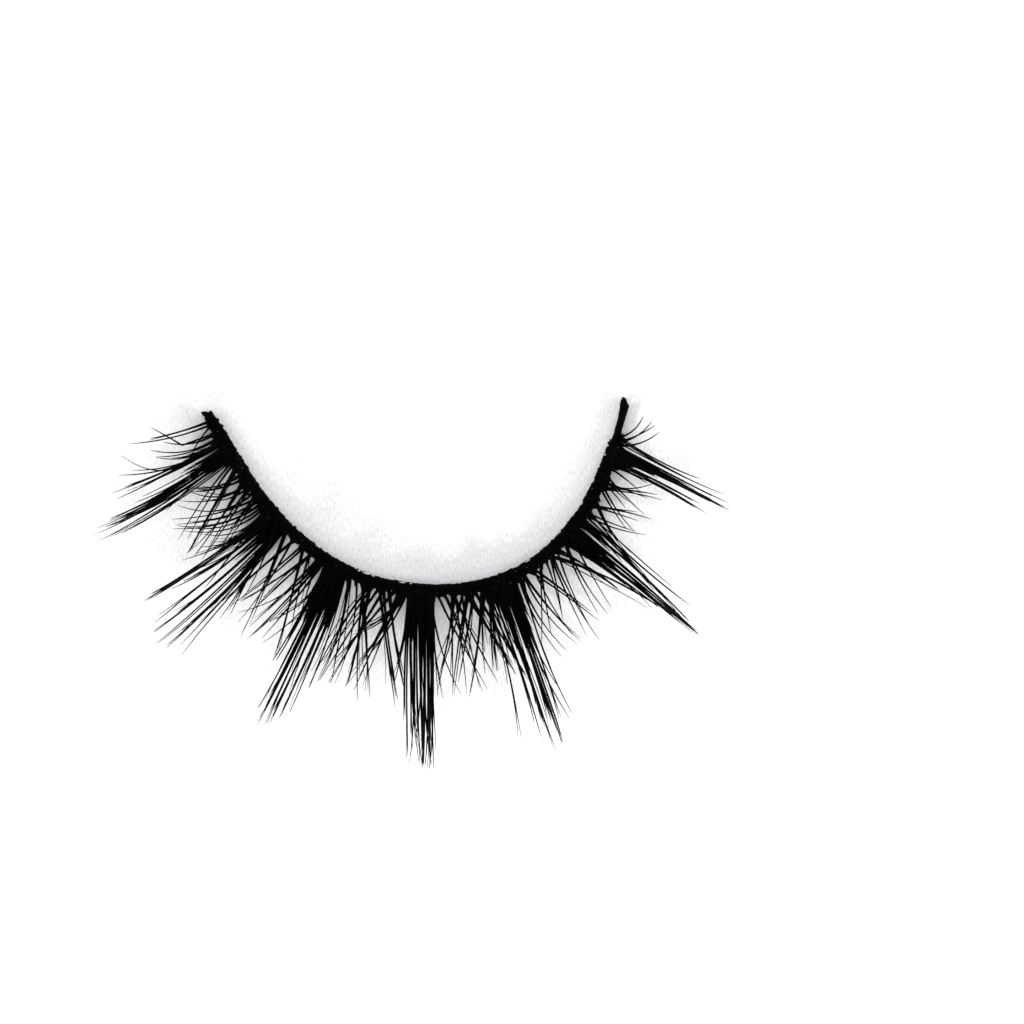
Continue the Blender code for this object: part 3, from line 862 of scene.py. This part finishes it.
def end_shift(share, across_share):
    """How far the band's two slanting cuts move its skin along it and outwards."""
    tail = np.clip((share - TAIL_CUT_START) / (1.0 - TAIL_CUT_START), 0.0, 1.0)
    slant = np.clip((across_share - TAIL_SLANT_START) / TAIL_SLANT_WIDTH, 0.0, 1.0)
    outer = np.clip((OUTER_CUT_END - share) / OUTER_CUT_END, 0.0, 1.0)
    along = tail * (TAIL_STUB - TAIL_CUT * slant)
    outer_slant = np.clip(OUTER_SLANT_START - across_share, 0.0, OUTER_SLANT_WIDTH)
    along = along + outer * OUTER_CUT * outer_slant / OUTER_SLANT_WIDTH
    bend = np.clip((share - TAIL_BEND_START) / (1.0 - TAIL_BEND_START), 0.0, 1.0)
    return along, -TAIL_BEND * bend ** 1.5


def skin_lumps(share, sizes):
    """How much further out the band's skin lies along it, as a factor."""
    factor = 1.0
    for pitch, amount in sizes:
        factor = factor + waver(share, pitch, amount)
    return factor


def make_band_core(material):
    """The twisted, glue-soaked thread inside the band, lumpy and flattened on its underside."""
    share = np.linspace(0.0, 1.0, CORE_STATIONS)
    point, along, outward = on_band(share)
    half = band_half_width(share) * CORE_FULLNESS
    angles = np.arange(CORE_SIDES) * 2 * np.pi / CORE_SIDES
    twist = share[:, None] * BAND_LENGTH / CORE_TWIST_PITCH * 2 * np.pi
    lobes = 1.0 + CORE_LOBE_DEPTH * np.cos(3 * (angles[None, :] - twist))
    outer_lumps = skin_lumps(share, OUTER_LUMPS)
    inner_lumps = skin_lumps(share, INNER_LUMPS)
    top_lumps = skin_lumps(share, TOP_LUMPS)
    is_outer = (np.cos(angles) > 0)[None, :]
    lumps = np.where(is_outer, outer_lumps[:, None], inner_lumps[:, None])
    across_share = np.cos(angles)[None, :] * lobes * lumps
    across = half[:, None] * across_share
    up = BAND_HEIGHT * 0.5 * (1.0 + 0.9 * np.sin(angles) * lobes * top_lumps[:, None])
    up = np.maximum(up, CORE_LOWEST_SKIN)
    forward, sideways = end_shift(share[:, None], across_share)
    across = across + sideways
    x = point[:, 0, None] + outward[:, 0, None] * across + along[:, 0, None] * forward
    y = point[:, 1, None] + outward[:, 1, None] * across + along[:, 1, None] * forward
    strands = Strands()
    strands.rings(np.stack([x, y, up], -1)[:, ::-1], 0.5)
    strands.build("band_core", material, "band", slot="band")


def make_band_wraps(material):
    """The thin thread wound unevenly round the band, which gives its edge small scallops."""
    strands = Strands()
    turns = int(BAND_LENGTH * WRAPPED_SHARE / WRAP_PITCH)
    total = turns * WRAP_STEPS
    for ply in range(WRAP_PLIES):
        turn = np.arange(total) / WRAP_STEPS
        uneven = np.cumsum(RNG.uniform(*WRAP_PITCHES, turns + 1))
        uneven *= turns / uneven[-1]
        place = np.interp(turn, np.arange(turns + 1), uneven)
        share = (place + ply * WRAP_PLY_GAP) * WRAP_PITCH / BAND_LENGTH + WRAP_START
        angle = 2 * np.pi * turn
        point, _, outward = on_band(share)
        swell = waver(share, *WRAP_SWELL)
        sunk = WRAP_SINK * np.clip(1.6 - np.abs(share - 0.5) / 0.12, 0.0, 1.0)
        half = band_half_width(share) + swell - WRAP_RADIUS * 0.55 - sunk
        across = half * np.sign(np.cos(angle)) * np.abs(np.cos(angle)) ** WRAP_SQUARENESS
        rounded = np.sign(np.sin(angle)) * np.abs(np.sin(angle)) ** WRAP_SQUARENESS
        size = WRAP_RADIUS * (1.0 + waver(share, *WRAP_THICKENING))
        up = BAND_HEIGHT * 0.5 * (1 + rounded * 0.92)
        up = np.maximum(up, size * 1.05)
        centres = np.column_stack([point + outward * across[:, None], up])
        heading = unit_rows(np.gradient(centres, axis=0))
        middle = np.column_stack([point, np.full(total, BAND_HEIGHT * 0.5)])
        lift = centres - middle
        lift -= heading * np.sum(lift * heading, axis=1)[:, None]
        lift = unit_rows(lift)
        side = np.cross(lift, heading)
        strands.tube(centres, side, lift, size, size, WRAP_SIDES, 0.3 + 0.4 * ply)
    strands.build("band_wraps", material, "band", slot="band")


def add_grain(strands, centre, sizes, turn, tone, sides=8, stations=7):
    """A small rounded grain, stretched to three half sizes and turned about Z."""
    polar = np.linspace(0.12, np.pi - 0.12, stations)
    angles = np.arange(sides) * 2 * np.pi / sides
    x = np.cos(polar)[:, None] * np.ones(sides) * sizes[0]
    y = np.sin(polar)[:, None] * np.cos(angles) * sizes[1]
    z = np.sin(polar)[:, None] * np.sin(angles) * sizes[2]
    cos, sin = math.cos(turn), math.sin(turn)
    rings = np.stack([x * cos - y * sin, x * sin + y * cos, z], -1) + centre
    strands.rings(rings[::-1], tone)


def make_glue_lumps(material):
    """Black glue dried in small lumps over the band and between the knots."""
    strands = Strands()
    for share in RNG.uniform(*GLUE_LUMP_SHARES, GLUE_LUMP_COUNT):
        point, along, outward = on_band(share)
        across = RNG.choice(GLUE_LUMP_PLACES) + spread(0.08)
        size = RNG.uniform(*GLUE_LUMP_SIZES) * MM
        edge = band_half_width(share) * across
        height = BAND_HEIGHT * (0.35 if abs(across) > 0.7 else 0.92) + spread(0.06 * MM)
        centre = np.array([*(point + outward * edge), max(height, size)])
        stretch = (size * RNG.uniform(1.0, 2.2), size, size * RNG.uniform(0.6, 0.95))
        add_grain(strands, centre, stretch, math.atan2(along[1], along[0]) + spread(0.4), 0.5)
    strands.build("glue_lumps", material, "band", slot="band")


def make_glue_flecks(material):
    """Pale specks of glue on the band and the knots, and slivers along its inner edge."""
    strands = Strands()
    for share in RNG.uniform(*GLUE_FLECK_SHARES, GLUE_FLECK_COUNT):
        point, _, outward = on_band(share)
        across = RNG.uniform(*GLUE_FLECK_PLACES)
        size = RNG.uniform(*GLUE_FLECK_SIZES) * MM
        height = BAND_HEIGHT * 1.02 if across < 0.8 else BAND_HEIGHT * 0.95
        centre = np.array([*(point + outward * band_half_width(share) * across), height])
        add_grain(strands, centre, (size * 1.5, size, size * 0.6), RNG.uniform(0.0, np.pi),
                  RNG.uniform(0.0, 0.35), 6, 5)
    for share, length in GLUE_SLIVERS:
        point, along, outward = on_band(share)
        edge = -band_half_width(share) * 0.84
        centre = np.array([*(point + outward * edge), BAND_HEIGHT + 0.02 * MM])
        turn = math.atan2(along[1], along[0]) + spread(0.1)
        add_grain(strands, centre, (length / 2, 0.032 * MM, 0.025 * MM), turn, 0.7)
    strands.build("glue_flecks", material, "band", slot="band")


def make_frayed_end(material):
    """Cut thread ends that stick out of the band's slanting outer end."""
    strands = Strands()
    point, along, outward = on_band(0.0)
    for number in range(FRAYED_THREADS):
        side_share = 2 * number / (FRAYED_THREADS - 1) - 1.0
        across = side_share * 0.22 * MM + spread(0.03 * MM)
        slant = np.clip(OUTER_SLANT_START - side_share, 0.0, OUTER_SLANT_WIDTH)
        start = OUTER_CUT * slant / OUTER_SLANT_WIDTH
        length = RNG.uniform(0.03, 0.12) * MM
        run = np.linspace(0.0, 1.0, 6)
        fan = spread(0.3) + side_share * 0.2
        plan = (point + outward * across + along * (start + FRAYED_LAP)
                - along * (run * (length + FRAYED_LAP))[:, None]
                + outward * (fan * run * length)[:, None])
        centres = np.column_stack([plan, RNG.uniform(0.14, 0.42) * MM + spread(0.06 * MM) * run])
        heading = unit_rows(np.gradient(centres, axis=0))
        lifts = np.tile([0.0, 0.0, 1.0], (len(run), 1))
        side = np.cross(lifts, heading)
        radii = RNG.uniform(0.05, 0.075) * MM * (1 - 0.45 * run)
        strands.tube(centres, side, lifts, radii, radii, 8, RNG.random())
    strands.build("frayed_end", material, "band", slot="band")


def new_material(name):
    material = bpy.data.materials.new(name)
    material.use_nodes = True
    tree = material.node_tree
    return material, tree, tree.nodes["Principled BSDF"]


def add_noise(tree, scale, detail, stretch=(1.0, 1.0, 1.0)):
    noise = tree.nodes.new("ShaderNodeTexNoise")
    noise.inputs["Scale"].default_value = scale
    noise.inputs["Detail"].default_value = detail
    coordinates = tree.nodes.new("ShaderNodeTexCoord")
    mapping = tree.nodes.new("ShaderNodeMapping")
    mapping.inputs["Scale"].default_value = stretch
    tree.links.new(coordinates.outputs["Object"], mapping.inputs["Vector"])
    tree.links.new(mapping.outputs["Vector"], noise.inputs["Vector"])
    return noise


def add_bump(tree, shader, height, strength, distance):
    bump = tree.nodes.new("ShaderNodeBump")
    bump.inputs["Strength"].default_value = strength
    bump.inputs["Distance"].default_value = distance
    tree.links.new(height, bump.inputs["Height"])
    tree.links.new(bump.outputs["Normal"], shader.inputs["Normal"])


def ramp(tree, source, low, high, start=0.0, end=1.0):
    """Two colours blended by a value between start and end."""
    node = tree.nodes.new("ShaderNodeValToRGB")
    node.color_ramp.elements[0].position = start
    node.color_ramp.elements[1].position = end
    node.color_ramp.elements[0].color = low
    node.color_ramp.elements[1].color = high
    tree.links.new(source, node.inputs["Fac"])
    return node.outputs["Color"]


def hair_material():
    material, tree, shader = new_material("black_hair")
    tone = tree.nodes.new("ShaderNodeAttribute")
    tone.attribute_name = "tone"
    colour = ramp(tree, tone.outputs["Fac"], *HAIR_COLOURS)
    tree.links.new(colour, shader.inputs["Base Color"])
    noise = add_noise(tree, HAIR_NOISE, 4.0)
    add_bump(tree, shader, noise.outputs["Fac"], 0.15, 0.00001)
    rough = tree.nodes.new("ShaderNodeMapRange")
    rough.inputs["To Min"].default_value = HAIR_ROUGHNESS[0]
    rough.inputs["To Max"].default_value = HAIR_ROUGHNESS[1]
    tree.links.new(noise.outputs["Fac"], rough.inputs["Value"])
    tree.links.new(rough.outputs["Result"], shader.inputs["Roughness"])
    shader.inputs["Specular IOR Level"].default_value = BLACK_SHINE
    return material


def thread_material():
    material, tree, shader = new_material("glued_thread")
    noise = add_noise(tree, THREAD_NOISE, 4.0)
    add_bump(tree, shader, noise.outputs["Fac"], 0.4, 0.00002)
    colour = ramp(tree, noise.outputs["Fac"], *THREAD_COLOURS)
    tree.links.new(colour, shader.inputs["Base Color"])
    shader.inputs["Roughness"].default_value = THREAD_ROUGHNESS
    shader.inputs["Specular IOR Level"].default_value = BLACK_SHINE
    return material


def glue_material():
    material, tree, shader = new_material("dried_glue")
    noise = add_noise(tree, GLUE_NOISE, 3.0)
    add_bump(tree, shader, noise.outputs["Fac"], 0.3, 0.00001)
    tone = tree.nodes.new("ShaderNodeAttribute")
    tone.attribute_name = "tone"
    colour = ramp(tree, tone.outputs["Fac"], *GLUE_COLOURS)
    tree.links.new(colour, shader.inputs["Base Color"])
    shader.inputs["Roughness"].default_value = GLUE_ROUGHNESS
    return material


def make_floor():
    mesh = bpy.data.meshes.new("floor")
    half = FLOOR_HALF_WIDTH
    mesh.from_pydata([(-half, -half, 0), (half, -half, 0), (half, half, 0), (-half, half, 0)],
                     [], [(0, 1, 2, 3)])
    floor = bpy.data.objects.new("floor", mesh)
    bpy.context.scene.collection.objects.link(floor)
    material, tree, shader = new_material("paper")
    fibres = add_noise(tree, PAPER_NOISE, 3.0, (1.0, 0.32, 1.0))
    colour = ramp(tree, fibres.outputs["Fac"], *PAPER_COLOURS, 0.36, 0.64)
    tree.links.new(colour, shader.inputs["Base Color"])
    shader.inputs["Roughness"].default_value = PAPER_ROUGHNESS
    shader.inputs["Specular IOR Level"].default_value = PAPER_SHINE
    add_bump(tree, shader, fibres.outputs["Fac"], 0.3, 0.00004)
    mesh.materials.append(material)


def make_lights():
    """A ring of soft lamps, low and strong on the viewer's side, and a dim pale sky."""
    world = bpy.context.scene.world or bpy.data.worlds.new("studio")
    bpy.context.scene.world = world
    world.use_nodes = True
    background = world.node_tree.nodes["Background"]
    background.inputs["Color"].default_value = SKY_COLOUR
    background.inputs["Strength"].default_value = SKY_STRENGTH
    for number in range(LAMP_COUNT):
        angle = 2 * math.pi * (number + 0.5) / LAMP_COUNT
        near_side = 0.5 - 0.5 * math.sin(angle)
        rise = math.radians(LAMP_RISE + LAMP_RISE_AT_BACK * math.sin(angle)
                            - LAMP_RISE_AT_LEFT * math.cos(angle))
        light = bpy.data.lights.new(f"softbox_{number}", "AREA")
        light.shape = "DISK"
        light.size = LAMP_SIZE
        light.energy = (LAMP_POWER + LAMP_POWER_IN_FRONT * near_side) / math.sin(rise)
        light.color = (0.93 + 0.07 * near_side, 0.97, 1.0 - 0.08 * near_side)
        lamp = bpy.data.objects.new(f"softbox_{number}", light)
        place = LAMP_DISTANCE * Vector((math.cos(rise) * math.cos(angle),
                                        math.cos(rise) * math.sin(angle),
                                        math.sin(rise)))
        lamp.location = place
        lamp.rotation_mode = "QUATERNION"
        lamp.rotation_quaternion = (-place).to_track_quat("-Z", "Y")
        bpy.context.scene.collection.objects.link(lamp)


def make_camera():
    data = bpy.data.cameras.new("camera")
    data.lens = LENS
    data.sensor_width = SENSOR
    data.clip_start = 0.001
    data.clip_end = 20.0
    camera = bpy.data.objects.new("camera", data)
    height = PHOTO_WIDTH / 2 / (SENSOR / 2 / LENS)
    camera.location = (PHOTO_MIDDLE[0], PHOTO_MIDDLE[1], height)
    bpy.context.scene.collection.objects.link(camera)
    bpy.context.scene.camera = camera


bpy.context.scene.view_settings.view_transform = "Standard"
make_camera()
make_lights()
make_floor()
HAIR = hair_material()
THREAD = thread_material()
GLUE = glue_material()
make_band_core(THREAD)
make_band_wraps(THREAD)
make_glue_lumps(THREAD)
make_glue_flecks(GLUE)
make_frayed_end(THREAD)
for spike in SPIKES:
    make_spike(spike, HAIR)
    make_knots(spike, SPIKE_REACH, SPIKE_ROOT_Z, SPIKE_ROOT_ANGLE, SPIKE_FILLET, False, THREAD)
for fill in FILLS:
    make_fill(fill, HAIR)
    make_knots(fill, FILL_REACH, FILL_ROOT_Z, FILL_ROOT_ANGLE, FILL_FILLET, True, THREAD)
for corner in CORNERS:
    make_corner(corner, HAIR)
    make_knots(corner, CORNER_REACH, FILL_ROOT_Z, FILL_ROOT_ANGLE, CORNER_FILLET, True, THREAD)
make_kinked_hair(HAIR)
